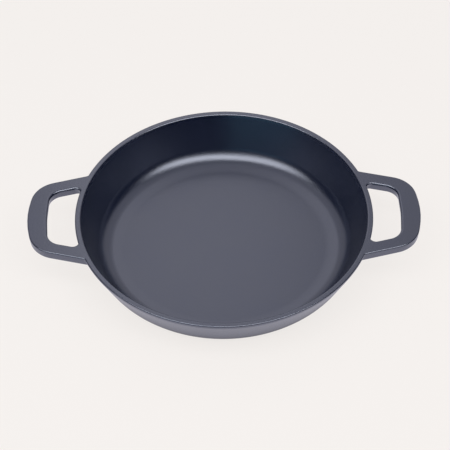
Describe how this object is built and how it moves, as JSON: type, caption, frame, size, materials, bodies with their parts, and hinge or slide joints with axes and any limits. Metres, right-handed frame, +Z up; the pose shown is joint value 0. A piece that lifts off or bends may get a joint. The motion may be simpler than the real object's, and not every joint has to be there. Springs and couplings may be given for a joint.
{
  "type": "shallow frying pan",
  "caption": "Shallow round cast iron pan with a flared wall, flat floor and level loop handles on opposite sides, matt enamel inside and out.",
  "frame": {"origin": "centre of the underside, on the plane that the foot ring rests on", "axes": "+X along the line through both handles, towards the right handle; +Z up, out of the bowl"},
  "size_m": [0.343, 0.26, 0.043],
  "materials": {
    "bowl_iron": "matt enamelled cast iron",
    "handle_iron": "matt enamelled cast iron",
    "interior_enamel": "fine-grained matt vitreous enamel",
    "exterior_enamel": "satin vitreous enamel"
  },
  "bodies": {
    "root": {"bowl": "bowl_iron", "left_handle": "handle_iron", "right_handle": "handle_iron", "interior_enamel": "interior_enamel", "exterior_enamel": "exterior_enamel"}
  },
  "joints": []
}
